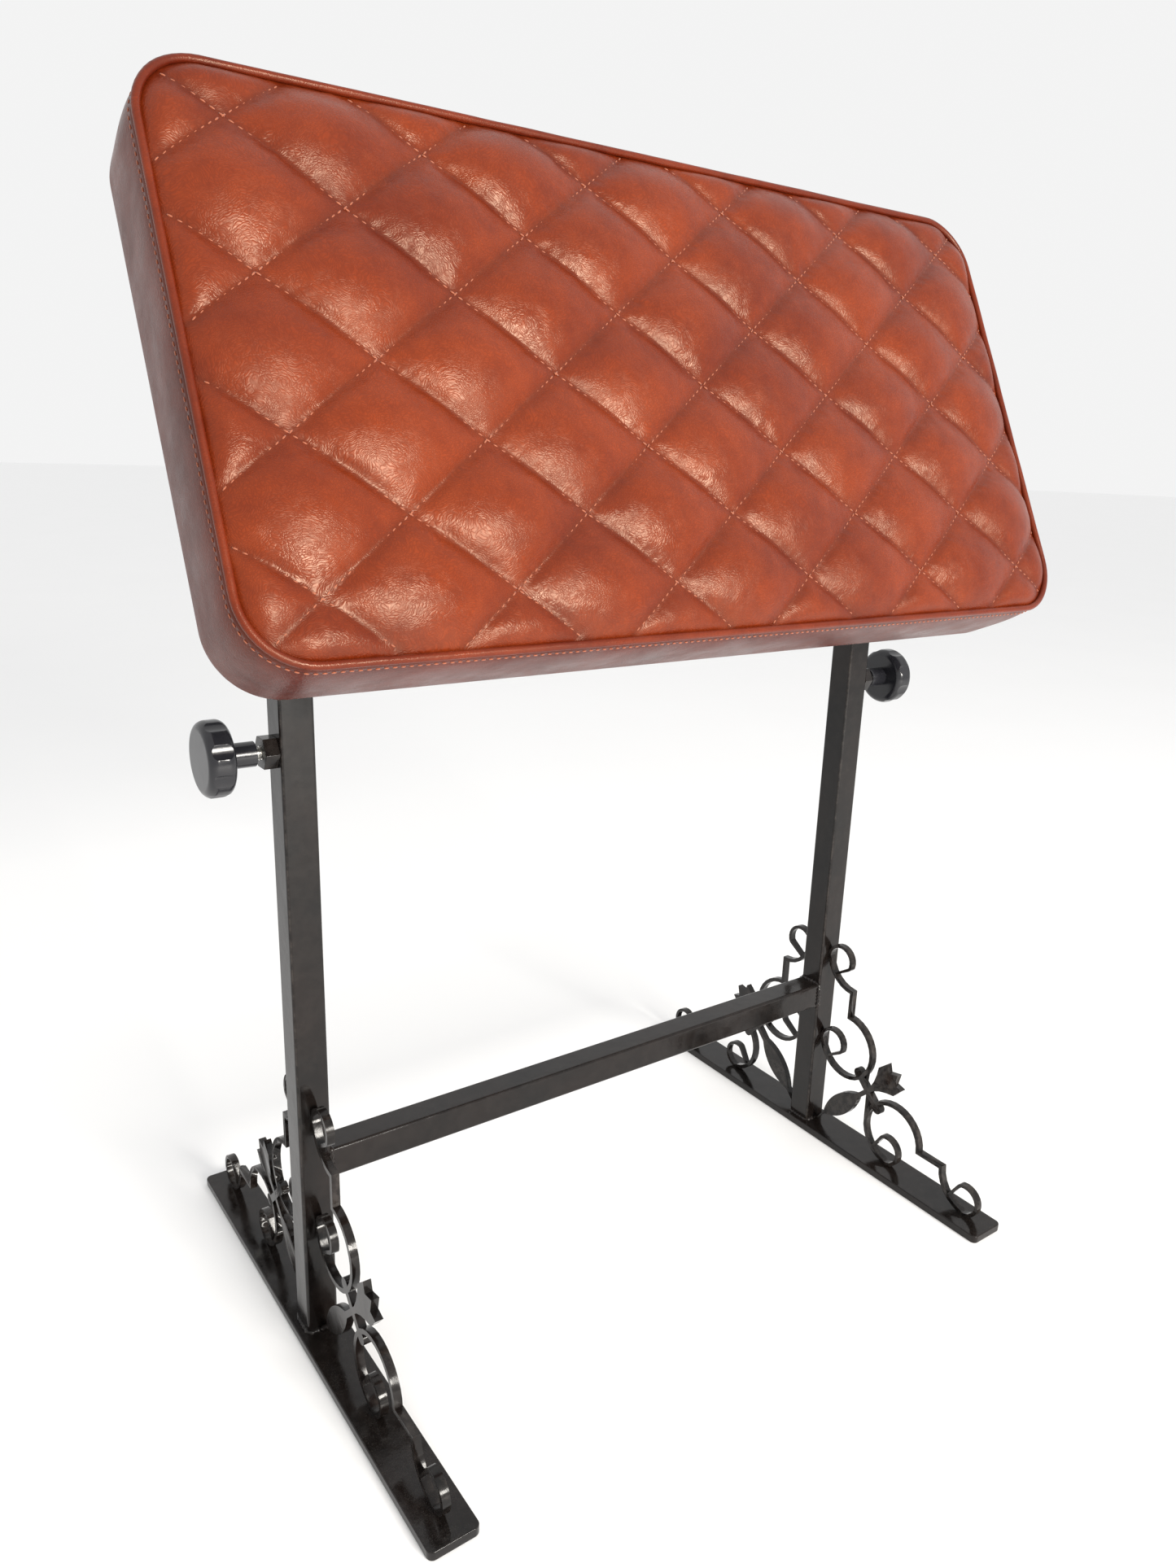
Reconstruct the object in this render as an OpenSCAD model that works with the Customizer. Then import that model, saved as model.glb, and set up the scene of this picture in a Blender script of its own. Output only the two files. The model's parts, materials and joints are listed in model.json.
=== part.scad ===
// Free-standing padded rest: two telescoping square posts on flat-bar feet carry a quilted pad
// that slides up and down and tilts about a level axis through the tops of the posts.
// Millimetres, +Z up. The origin is on the floor, midway between the feet, below the tilt axis.
// +X runs to the right along the pad, and the pad's upholstered face looks towards -Y.

/* [Stand] */
// Distance between the two posts, centre to centre
post_spacing = 446; // [420:2:460]
// Width of the square outer posts and of the crossbar
post_w = 20; // [20:0.5:22]
// Height of the open tops of the outer posts above the floor
post_top = 425; // [415:1:430]
// Wall of all square tubes
tube_wall = 1.5; // [1.2:0.1:1.6]
// Height of the crossbar's upper face
crossbar_top = 134; // [110:1:160]
// Length of each foot, front to back
foot_len = 372; // [360:2:420]
// Width of each foot
foot_w = 31; // [28:1:40]
// Thickness of each foot
foot_t = 6; // [5:0.5:8]

/* [Height adjustment] */
// Gap between an inner tube and its outer post, on each side
tube_play = 0.5; // [0.4:0.05:0.6]
// Height of the clamp knobs' axis
knob_h = 387; // [380:1:392]
// Diameter over the lobes of a knob
knob_d = 42; // [38:1:44]
// Thread diameter of the clamp studs and the pivot bolts
thread_d = 8; // [8:0.1:8.2]

/* [Pad] */
// Height of the tilt axis with the pad at its lowest
pivot_h = 555; // [550:1:570]
// Lean of the pad's face from level
pad_tilt = 64.8; // [60:0.1:70]
// Length of the pad
pad_len = 578; // [560:2:600]
// Width of the pad
pad_w = 290; // [270:2:290]
// Depth of the pad from its back to its piped edge
pad_depth = 50; // [45:1:55]
// How far the stuffed face stands out past the piped edge
pad_crown = 8; // [6:0.5:10]
// Corner radius of the pad
pad_corner = 36; // [30:1:45]

/* [Scrolls] */
// Thickness of the scroll brackets along X
scroll_t = 5; // [4:0.5:6]
// Width of the long bars of a scroll
bar_w = 3.2; // [2.8:0.1:3.6]
// Width of the small curls of a scroll
curl_w = 2.6; // [2.2:0.1:2.8]

/* [Hidden] */
$fn = 96;

left = -1;
right = 1;
front = -1;
rear = 1;
post_x = post_spacing / 2;
sliver = 0.01;
running_gap = 0.05;
loose_gap = 0.1;

// Square tubes
tube_corner = 2;
sharp_corner = 0.4;
inner_w = post_w - 2 * (tube_wall + tube_play);
inner_corner = 1.4;
inner_floor_gap = 1;
inner_top = pivot_h + 8;
foot_corner = 4;

// Tube plugs
plug_cap = 2;
plug_skirt = 12;
plug_wall = 1.5;

// Clamp nuts, studs and knobs, measured outward from the posts' centres
nut_len = 8;
nut_flats = 17;
stud_tip = inner_w / 2 + loose_gap;
hub_start = post_w / 2 + nut_len + 3.5;
hub_len = 14.5;
hub_d = 14;
cap_start = hub_start + hub_len;
cap_len = 15;
cap_round = 5;
stud_end = cap_start + 6;
lobe_count = 8;
lobe_depth = 1.1;
lobe_cut_r = 12;
lobe_cut_at = knob_d / 2 + lobe_cut_r - lobe_depth;

// Heights above the tilt axis, along the pad's own depth
plate_t = 2.5;
plate_back = 14;
plate_face = plate_back + plate_t;
dust_t = 0.8;
hem_t = 1.2;
board_back = plate_face + dust_t + hem_t;
board_t = 12;
board_front = board_back + board_t;
piped_edge = board_back + pad_depth;
face_top = piped_edge + pad_crown;
cover_t = 1.5;
piping_r = 2.6;
piping_inset = piping_r + 0.1;
crown_inset = 2 * piping_inset + 0.2;
hem_w = 26;
dust_inset = 12;

// Tilt brackets and their fasteners, measured from each post's centre
ear_t = 2.5;
ear_r = 13;
washer_t = 1.4;
washer_d = 18;
ear_inner = inner_w / 2 + washer_t + 2 * running_gap;
ear_outer = ear_inner + ear_t;
plate_len = 90;
plate_w = 74;
plate_corner = 5;
screw_x = 28;
screw_y = 34;
screw_d = 4;
screw_head_d = 8;
screw_head_t = 2.4;
screw_grip = 10;
bolt_flats = 13;
bolt_head_t = 5.3;
pivot_nut_t = 7.5;
bolt_tail = 2;

// Scroll bracket: a is the distance out from the post, b the height above the foot
scroll_pitch = 75;
lower_arc = [28, 82];
upper_arc = lower_arc + [0, scroll_pitch];
arc_r = lower_arc.x - bar_w / 2;
lower_curl = [12.7, 78.6];
upper_curl = lower_curl + [0, scroll_pitch];
curl_r = lower_curl.x - curl_w / 2;
curl_turn_r = 4;
curl_turn_angle = -57;
curl_open_angle = -15;
curl_tail = 14.4;
tip_w = 1.8;
bud_at = [43.5, 65.5];
bud_r = 4.2;
stem_w = 4;
tie_w = 5;
tie_at = 54;
tie_reach = 12;
leaf_from = 11;
leaf_to = 46;
leaf_half_w = 8.4;
tulip = [[57, 60], [60, 66], [62, 73], [63, 80], [71, 87], [73, 80], [82, 82]];

enamel = [0.05, 0.045, 0.045];
knob_black = [0.08, 0.08, 0.09];
zinc = [0.72, 0.72, 0.7];
cognac = [0.55, 0.22, 0.12];
cloth_black = [0.12, 0.12, 0.12];
plywood = [0.76, 0.6, 0.4];
foam_cream = [0.93, 0.88, 0.7];
nylon = [0.9, 0.9, 0.86];

// ---- shared shapes ----

module rounded_rect(w, h, r) {
    square([w - 2 * r, h], center = true);
    square([w, h - 2 * r], center = true);
    for (x = [-1, 1], y = [-1, 1])
        translate([x * (w / 2 - r), y * (h / 2 - r)]) circle(r);
}

module slab(w, h, r, from, to) {
    translate([0, 0, from]) linear_extrude(to - from) rounded_rect(w, h, r);
}

module square_tube(w, wall, corner, from, to) {
    difference() {
        slab(w, w, corner, from, to);
        slab(w - 2 * wall, w - 2 * wall, max(corner - wall, sharp_corner), from - 1, to + 1);
    }
}

module at_post(side) {
    translate([side * post_x, 0, 0]) children();
}

// Turns a shape drawn along +Z so that it points outward along X from a post
module outward(side) {
    rotate([0, side * 90, 0]) children();
}

module hexagon(flats, len) {
    rotate(30) cylinder(d = flats / cos(30), h = len, $fn = 6);
}

// Places a shape drawn in the pad's own frame, whose origin is on the tilt axis
module on_pad() {
    translate([0, 0, pivot_h]) rotate([pad_tilt, 0, 0]) children();
}

// ---- stand ----

module foot(side) {
    color(enamel) at_post(side)
        linear_extrude(foot_t) rounded_rect(foot_w, foot_len, foot_corner);
}

module post(side) {
    color(enamel) at_post(side) difference() {
        square_tube(post_w, tube_wall, tube_corner, foot_t, post_top);
        translate([0, 0, knob_h]) outward(side)
            cylinder(d = thread_d + 2 * loose_gap, h = post_w);
    }
}

module crossbar() {
    bar_len = post_spacing - post_w;
    color(enamel) translate([0, 0, crossbar_top - post_w / 2]) rotate([0, 90, 0])
        square_tube(post_w, tube_wall, tube_corner, -bar_len / 2, bar_len / 2);
}

module clamp_nut(side) {
    color(enamel) at_post(side) translate([0, 0, knob_h]) outward(side)
        translate([0, 0, post_w / 2]) difference() {
            hexagon(nut_flats, nut_len);
            translate([0, 0, -1]) cylinder(d = thread_d + 2 * running_gap, h = nut_len + 2);
        }
}

// ---- scroll bracket, drawn flat: x is a, y is b ----

// Points along an arc from one angle to another
function arc_points(centre, r, from, to, step) =
    let (n = ceil(abs(to - from) / step))
    [for (i = [0 : n]) let (t = from + (to - from) * i / n) centre + r * [cos(t), sin(t)]];

function unit(v) = v / norm(v);
function across(v) = [-v.y, v.x];

// One edge of a bar that follows a line of points, with a width at each point and mitred corners
function edge_points(line, widths, side) = [
    for (i = [0 : len(line) - 1])
        let (before = unit(line[max(i, 1)] - line[max(i, 1) - 1]),
             after = unit(line[min(i + 1, len(line) - 1)] - line[min(i, len(line) - 2)]),
             out = unit(across(before) + across(after)))
        line[i] + side * widths[i] / 2 / (out * across(before)) * out
];

function reversed(list) = [for (i = [len(list) - 1 : -1 : 0]) list[i]];
function same_width(line, w) = [for (p = line) w];

// A curl from the tip of its tail round to the side that is welded on
function curl_points(centre) =
    let (open = [cos(curl_open_angle), sin(curl_open_angle)],
         turn = centre + (curl_r - curl_turn_r) * open,
         turn_end = turn + curl_turn_r * [cos(curl_turn_angle), sin(curl_turn_angle)],
         tip = turn_end + curl_tail * [sin(curl_turn_angle), -cos(curl_turn_angle)])
    concat([tip], arc_points(turn, curl_turn_r, curl_turn_angle, curl_open_angle - 10, 16),
           arc_points(centre, curl_r, curl_open_angle, 180, 15));

function curl_widths(points) = [for (i = [0 : len(points) - 1]) i == 0 ? tip_w : curl_w];

module bar_line(from, to, w) {
    run = to - from;
    translate([from.x, from.y, -scroll_t / 2]) rotate(atan2(run.y, run.x))
        translate([0, -w / 2, 0]) cube([norm(run), w, scroll_t]);
}

module scroll_arm() {
    top = curl_points(upper_curl);
    shoulder = arc_points(upper_arc, arc_r, 192, 270, 13);
    sweep = arc_points(lower_arc, arc_r, 90, -168, 12);
    low = reversed(curl_points(lower_curl));
    line = concat(top, shoulder, sweep, low);
    widths = concat(curl_widths(top), same_width(shoulder, bar_w), same_width(sweep, bar_w),
                    reversed(curl_widths(top)));
    translate([0, 0, -scroll_t / 2]) linear_extrude(scroll_t)
        polygon(concat(edge_points(line, widths, 1), reversed(edge_points(line, widths, -1))));
    translate([bud_at.x, bud_at.y, -scroll_t / 2]) cylinder(r = bud_r, h = scroll_t);
}

module leaf() {
    half_len = (leaf_to - leaf_from) / sqrt(2);
    r = (pow(half_len, 2) + pow(leaf_half_w, 2)) / (2 * leaf_half_w);
    middle = (leaf_from + leaf_to) / 2;
    translate([middle, middle, -scroll_t / 2]) rotate(45) intersection_for (side = [-1, 1])
        translate([0, side * (r - leaf_half_w), 0]) cylinder(r = r, h = scroll_t);
}

module tulip_head() {
    other_side = [for (i = [len(tulip) - 2 : -1 : 0]) [tulip[i].y, tulip[i].x]];
    translate([0, 0, -scroll_t / 2]) linear_extrude(scroll_t) polygon(concat(tulip, other_side));
}

module scroll_shape() {
    scroll_arm();
    mirror([1, -1, 0]) scroll_arm();
    bar_line([0.8, 0.8], [leaf_from + 3, leaf_from + 3], bar_w - 1);
    bar_line([leaf_to - 2, leaf_to - 2], [60, 60], stem_w);
    bar_line([tie_at - tie_reach / sqrt(2), tie_at + tie_reach / sqrt(2)],
             [tie_at + tie_reach / sqrt(2), tie_at - tie_reach / sqrt(2)], tie_w);
    leaf();
    tulip_head();
}

module scroll(side, end) {
    color(enamel) translate([side * post_x, end * post_w / 2, foot_t])
        rotate([90, 0, end * 90]) scroll_shape();
}

// ---- height clamp ----

module clamp_stud(side) {
    color(zinc) at_post(side) translate([0, 0, knob_h]) outward(side)
        translate([0, 0, stud_tip]) cylinder(d = thread_d, h = stud_end - stud_tip);
}

module knob_profile() {
    square([hub_d / 2, hub_len + 1]);
    translate([0, hub_len]) {
        square([knob_d / 2 - cap_round, cap_len]);
        translate([0, cap_round]) square([knob_d / 2, cap_len - 2 * cap_round]);
        for (y = [cap_round, cap_len - cap_round])
            translate([knob_d / 2 - cap_round, y]) circle(cap_round);
    }
}

module knob(side) {
    color(knob_black) at_post(side) translate([0, 0, knob_h]) outward(side)
        translate([0, 0, hub_start]) difference() {
            rotate_extrude() knob_profile();
            for (i = [0 : lobe_count - 1]) rotate((i + 0.5) * 360 / lobe_count)
                translate([lobe_cut_at, 0, hub_len - 1]) cylinder(r = lobe_cut_r, h = cap_len + 2);
            translate([0, 0, -1])
                cylinder(d = thread_d + 2 * running_gap, h = stud_end - hub_start + 1 + loose_gap);
        }
}

// ---- sliding tubes ----

module inner_tube(side) {
    color(enamel) at_post(side) difference() {
        square_tube(inner_w, tube_wall, inner_corner, foot_t + inner_floor_gap, inner_top);
        translate([0, 0, pivot_h]) rotate([0, 90, 0])
            cylinder(d = thread_d + 2 * running_gap, h = inner_w + 2, center = true);
    }
}

module tube_plug(side) {
    hollow_w = inner_w - 2 * tube_wall - 2 * loose_gap;
    color(knob_black) at_post(side) {
        slab(inner_w, inner_w, inner_corner, inner_top, inner_top + plug_cap);
        difference() {
            slab(hollow_w, hollow_w, sharp_corner, inner_top - plug_skirt, inner_top + sliver);
            slab(hollow_w - 2 * plug_wall, hollow_w - 2 * plug_wall, sharp_corner,
                 inner_top - plug_skirt - 1, inner_top - plug_wall);
            translate([0, 0, pivot_h]) rotate([0, 90, 0])
                cylinder(d = thread_d + 4 * loose_gap, h = inner_w, center = true);
        }
    }
}

// ---- tilt hardware, in the pad's frame ----

module screw_places() {
    for (x = [-1, 1], y = [-1, 1]) translate([x * screw_x, y * screw_y, 0]) children();
}

module ear(side) {
    translate([side * (ear_inner + ear_outer) / 2, 0, 0]) difference() {
        union() {
            rotate([0, 90, 0]) cylinder(r = ear_r, h = ear_t, center = true);
            translate([-ear_t / 2, -ear_r, 0]) cube([ear_t, 2 * ear_r, plate_back + 0.5]);
        }
        rotate([0, 90, 0]) cylinder(d = thread_d + 2 * loose_gap, h = ear_t + 2, center = true);
    }
}

module tilt_bracket(side) {
    color(enamel) on_pad() at_post(side) {
        difference() {
            slab(plate_w, plate_len, plate_corner, plate_back, plate_face);
            screw_places() translate([0, 0, plate_back - 1])
                cylinder(d = screw_d + 4 * loose_gap, h = plate_t + 2);
        }
        for (ear_side = [-1, 1]) ear(ear_side);
    }
}

module pivot_bolt(side) {
    color(zinc) on_pad() at_post(side) outward(side) {
        translate([0, 0, ear_outer]) hexagon(bolt_flats, bolt_head_t);
        translate([0, 0, -ear_outer - pivot_nut_t - bolt_tail])
            cylinder(d = thread_d, h = 2 * ear_outer + pivot_nut_t + bolt_tail + sliver);
    }
}

module pivot_nuts() {
    color(zinc) on_pad() for (side = [left, right]) at_post(side) outward(-side)
        translate([0, 0, ear_outer]) difference() {
            hexagon(bolt_flats, pivot_nut_t);
            translate([0, 0, -1]) cylinder(d = thread_d + 2 * running_gap, h = pivot_nut_t + 2);
        }
}

module pivot_washers() {
    color(nylon) on_pad() for (side = [left, right], face = [-1, 1]) at_post(side) outward(face)
        translate([0, 0, inner_w / 2 + running_gap]) difference() {
            cylinder(d = washer_d, h = washer_t);
            translate([0, 0, -1]) cylinder(d = thread_d + 2 * running_gap, h = washer_t + 2);
        }
}

module bracket_screws() {
    color(zinc) on_pad() for (side = [left, right]) at_post(side) screw_places() {
        translate([0, 0, plate_back - screw_head_t]) cylinder(d = screw_head_d, h = screw_head_t);
        translate([0, 0, plate_back - sliver])
            cylinder(d = screw_d, h = plate_face - plate_back + screw_grip);
    }
}

module screw_holes() {
    for (side = [left, right]) at_post(side) screw_places()
        translate([0, 0, plate_back]) cylinder(d = screw_d + 2 * loose_gap, h = screw_grip + 3);
}

// ---- pad, in its own frame ----

module pad_board() {
    color(plywood) on_pad() difference() {
        slab(pad_len - 2 * cover_t, pad_w - 2 * cover_t, pad_corner - cover_t, board_back, board_front);
        screw_holes();
    }
}

module pad_foam() {
    color(foam_cream) on_pad() {
        slab(pad_len - 2 * cover_t, pad_w - 2 * cover_t, pad_corner - cover_t,
             board_front, piped_edge - cover_t);
        slab(pad_len - 2 * (crown_inset + cover_t), pad_w - 2 * (crown_inset + cover_t),
             pad_corner - crown_inset - cover_t, piped_edge - cover_t - sliver, face_top - cover_t);
    }
}

module pad_cover() {
    color(cognac) on_pad() difference() {
        union() {
            slab(pad_len, pad_w, pad_corner, board_back - hem_t, piped_edge);
            slab(pad_len - 2 * crown_inset, pad_w - 2 * crown_inset, pad_corner - crown_inset,
                 piped_edge - sliver, face_top);
        }
        slab(pad_len - 2 * cover_t, pad_w - 2 * cover_t, pad_corner - cover_t,
             board_back, piped_edge - cover_t);
        slab(pad_len - 2 * (crown_inset + cover_t), pad_w - 2 * (crown_inset + cover_t),
             pad_corner - crown_inset - cover_t, piped_edge - cover_t - sliver, face_top - cover_t);
        slab(pad_len - 2 * hem_w, pad_w - 2 * hem_w, pad_corner - cover_t,
             board_back - hem_t - 1, board_back + sliver);
        screw_holes();
    }
}

module pad_piping() {
    mid_corner = pad_corner - piping_inset;
    run_x = pad_len / 2 - pad_corner;
    run_y = pad_w / 2 - pad_corner;
    color(cognac) on_pad() translate([0, 0, piped_edge + piping_inset]) {
        for (y = [-1, 1]) translate([0, y * (pad_w / 2 - piping_inset), 0])
            rotate([0, 90, 0]) cylinder(r = piping_r, h = 2 * run_x, center = true);
        for (x = [-1, 1]) translate([x * (pad_len / 2 - piping_inset), 0, 0])
            rotate([90, 0, 0]) cylinder(r = piping_r, h = 2 * run_y, center = true);
        for (i = [0 : 3]) {
            x = (i == 0 || i == 3) ? run_x : -run_x;
            y = i < 2 ? run_y : -run_y;
            translate([x, y, 0]) rotate(90 * i) rotate_extrude(angle = 90)
                translate([mid_corner, 0]) circle(piping_r);
        }
    }
}

module pad_dust_cover() {
    color(cloth_black) on_pad() difference() {
        slab(pad_len - 2 * dust_inset, pad_w - 2 * dust_inset, pad_corner - dust_inset,
             plate_face, plate_face + dust_t);
        screw_holes();
    }
}

foot(left);  // left_foot
foot(right);  // right_foot
post(left);  // left_post
post(right);  // right_post
crossbar();
scroll(left, front);  // left_front_scroll
scroll(left, rear);  // left_rear_scroll
scroll(right, front);  // right_front_scroll
scroll(right, rear);  // right_rear_scroll
clamp_nut(left);  // left_clamp_nut
clamp_nut(right);  // right_clamp_nut
clamp_stud(left);  // left_clamp_stud
clamp_stud(right);  // right_clamp_stud
knob(left);  // left_knob
knob(right);  // right_knob
inner_tube(left);  // left_inner_tube
inner_tube(right);  // right_inner_tube
tube_plug(left);  // left_tube_plug
tube_plug(right);  // right_tube_plug
tilt_bracket(left);  // left_tilt_bracket
tilt_bracket(right);  // right_tilt_bracket
pivot_bolt(left);  // left_pivot_bolt
pivot_bolt(right);  // right_pivot_bolt
pivot_washers();
pivot_nuts();
bracket_screws();
pad_board();
pad_foam();
pad_cover();
pad_piping();
pad_dust_cover();
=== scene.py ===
import json
import math

import bmesh
import bpy
import numpy as np
from mathutils import Matrix, Vector, noise


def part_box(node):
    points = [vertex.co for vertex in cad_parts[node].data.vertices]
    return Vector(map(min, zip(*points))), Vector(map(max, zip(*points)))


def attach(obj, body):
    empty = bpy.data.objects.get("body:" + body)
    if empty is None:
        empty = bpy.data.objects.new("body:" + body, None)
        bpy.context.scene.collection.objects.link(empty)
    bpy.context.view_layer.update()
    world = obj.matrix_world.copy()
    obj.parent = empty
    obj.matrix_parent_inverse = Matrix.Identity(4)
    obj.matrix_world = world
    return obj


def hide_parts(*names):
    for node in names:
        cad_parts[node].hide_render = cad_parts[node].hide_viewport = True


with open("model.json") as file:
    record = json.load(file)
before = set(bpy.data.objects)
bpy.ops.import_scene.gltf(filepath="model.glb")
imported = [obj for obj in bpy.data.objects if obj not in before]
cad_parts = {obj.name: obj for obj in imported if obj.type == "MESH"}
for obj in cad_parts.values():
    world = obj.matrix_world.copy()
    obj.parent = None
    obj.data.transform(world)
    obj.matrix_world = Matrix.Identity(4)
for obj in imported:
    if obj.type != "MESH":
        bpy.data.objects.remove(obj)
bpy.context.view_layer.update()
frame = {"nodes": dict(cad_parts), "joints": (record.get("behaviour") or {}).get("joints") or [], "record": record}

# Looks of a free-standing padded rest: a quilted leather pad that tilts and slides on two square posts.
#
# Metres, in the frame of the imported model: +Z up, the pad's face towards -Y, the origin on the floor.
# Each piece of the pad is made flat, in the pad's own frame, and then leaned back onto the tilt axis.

MM = 0.001

# ---- places, read from the frame ----

joints = {joint["name"]: joint for joint in frame["joints"]}
tilt_axis = Vector(joints["tilt"]["pos_m"])
pad_lean = math.radians(-joints["tilt"]["range_deg"][0])
ON_PAD = Matrix.Translation(tilt_axis) @ Matrix.Rotation(pad_lean, 4, "X")
OFF_PAD = ON_PAD.inverted()


def pad_box(node):
    """Lowest and highest corners of a CAD node in the pad's own frame."""
    places = np.array([OFF_PAD @ v.co for v in frame["nodes"][node].data.vertices])
    return Vector(places.min(0)), Vector(places.max(0))


cover_low, cover_high = pad_box("pad_cover")
cord_low, cord_high = pad_box("pad_piping")
dust_low, dust_high = pad_box("pad_dust_cover")

PAD_CORNER = 36 * MM
CORD_R = 2.1 * MM
cord_inset = cover_high.x - cord_high.x + 2.6 * MM
cord_level = (cord_low.z + cord_high.z) / 2
core_x = cover_high.x - PAD_CORNER
core_y = cover_high.y - PAD_CORNER

# ---- quilting: seams run along both diagonals of a lattice of diamonds ----

DIAMOND_HALF_X = 49.8 * MM
DIAMOND_HALF_Y = 37.8 * MM
LATTICE_REACH = 5
LATTICE_STEPS = 20
SEAM_GAP = 2 * DIAMOND_HALF_X * DIAMOND_HALF_Y / math.hypot(DIAMOND_HALF_X, DIAMOND_HALF_Y)
SEAM_STEP = math.hypot(DIAMOND_HALF_X, DIAMOND_HALF_Y)
FACE_INSET = cord_inset + 1.4 * MM
FACE_EDGE = cord_level - 1.2 * MM
SEAM_RISE = 7.4 * MM
SEAM_RISE_OVER = 20 * MM
PUFF_HEIGHT = 7.5 * MM


def inset_of(x, y):
    """How far points lie inside the pad's outer edge, as seen from the front."""
    beyond_x = np.abs(x) - core_x
    beyond_y = np.abs(y) - core_y
    round_corner = np.hypot(np.maximum(beyond_x, 0), np.maximum(beyond_y, 0))
    return PAD_CORNER - round_corner - np.minimum(np.maximum(beyond_x, beyond_y), 0)


def edge_normal(x, y):
    """The outward direction of the pad's edge next to points, as seen from the front."""
    over_x = np.sign(x) * np.maximum(np.abs(x) - core_x, 0)
    over_y = np.sign(y) * np.maximum(np.abs(y) - core_y, 0)
    length = np.maximum(np.hypot(over_x, over_y), 1e-9)
    return over_x / length, over_y / length


def lattice(x, y):
    """Counts seams along the two diagonals: whole numbers lie on a seam."""
    return (x / DIAMOND_HALF_X + y / DIAMOND_HALF_Y) / 2, (x / DIAMOND_HALF_X - y / DIAMOND_HALF_Y) / 2


def seam_level(x, y):
    """Height of the stitched seams, which sink at the crossings and towards the piping."""
    depth = np.maximum(inset_of(x, y) - FACE_INSET, 0)
    s, t = lattice(x, y)
    between = np.maximum(np.sin(math.pi * s) ** 2, np.sin(math.pi * t) ** 2)
    dip = 1.1 * MM * (1 - between) * np.minimum(depth / SEAM_RISE_OVER, 1)
    return FACE_EDGE + SEAM_RISE * (1 - np.exp(-depth / SEAM_RISE_OVER)) - dip


# ---- making and placing pieces ----


def verts_array(mesh):
    places = np.zeros(len(mesh.vertices) * 3, np.float32)
    mesh.vertices.foreach_get("co", places)
    return places.reshape(-1, 3).astype(float)


def set_verts(mesh, places):
    mesh.vertices.foreach_set("co", places.astype(np.float32).ravel())
    mesh.update()


def add_piece(name, bm, materials, body, replaced=(), on_pad=False, sharp=35):
    """Turns a bmesh into a smooth-shaded piece that rides on a CAD body."""
    if on_pad:
        bm.transform(ON_PAD)
    mesh = bpy.data.meshes.new(name)
    bm.to_mesh(mesh)
    bm.free()
    piece = bpy.data.objects.new(name, mesh)
    bpy.context.scene.collection.objects.link(piece)
    for finish in materials:
        mesh.materials.append(finish)
    mesh.shade_smooth()
    mesh.set_sharp_from_angle(angle=math.radians(sharp))
    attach(piece, body)
    if replaced:
        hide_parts(*replaced)
    return piece


def even_shading(piece):
    """Keeps broad flat faces flat in the light, next to their rounded edges."""
    weighted = piece.modifiers.new("Even shading", "WEIGHTED_NORMAL")
    weighted.keep_sharp = True
    return piece


def turned_ring(bm, path_point, along, across, radius, sides):
    """A ring of edges round a path, square to its direction."""
    up = along.cross(across).normalized()
    side = up.cross(along).normalized()
    turn = Matrix((side, up, along.normalized())).transposed().to_4x4()
    place = Matrix.Translation(path_point) @ turn
    ring = bmesh.ops.create_circle(bm, segments=sides, radius=radius, matrix=place)
    return ring["verts"]


def tube(bm, path, radii, sides=8, closed=False, across=Vector((0, 0, 1))):
    """A round bar along a path of points, with a radius at each point."""
    count = len(path)
    rings = []
    for i, point in enumerate(path):
        before = path[i - 1] if closed or i else point
        after = path[(i + 1) % count] if closed or i < count - 1 else point
        rings.append(turned_ring(bm, point, after - before, across, radii[i], sides))
    pairs = list(zip(rings, rings[1:])) + ([(rings[-1], rings[0])] if closed else [])
    for one, other in pairs:
        ends = [(ring[k], ring[(k + 1) % sides]) for ring in (one, other) for k in range(sides)]
        edges = [bm.edges.get(pair) for pair in ends]
        bmesh.ops.bridge_loops(bm, edges=edges)
    if not closed:
        for ring in (rings[0], rings[-1]):
            bmesh.ops.contextual_create(bm, geom=ring)
    return rings


def softened(node, width, segments=2, angle=32):
    """A copy of a CAD node with its sharp edges rounded over."""
    bm = bmesh.new()
    bm.from_mesh(frame["nodes"][node].data)
    bmesh.ops.remove_doubles(bm, verts=bm.verts, dist=0.002 * MM)
    bmesh.ops.dissolve_limit(bm, angle_limit=math.radians(0.5), verts=bm.verts, edges=bm.edges)
    sharp = [e for e in bm.edges if e.is_manifold and e.calc_face_angle() > math.radians(angle)]
    bmesh.ops.bevel(bm, geom=sharp, offset=width, offset_type="OFFSET", segments=segments,
                    profile=0.5, affect="EDGES", clamp_overlap=True, material=-1)
    return bm


# ---- shader building ----


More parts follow.
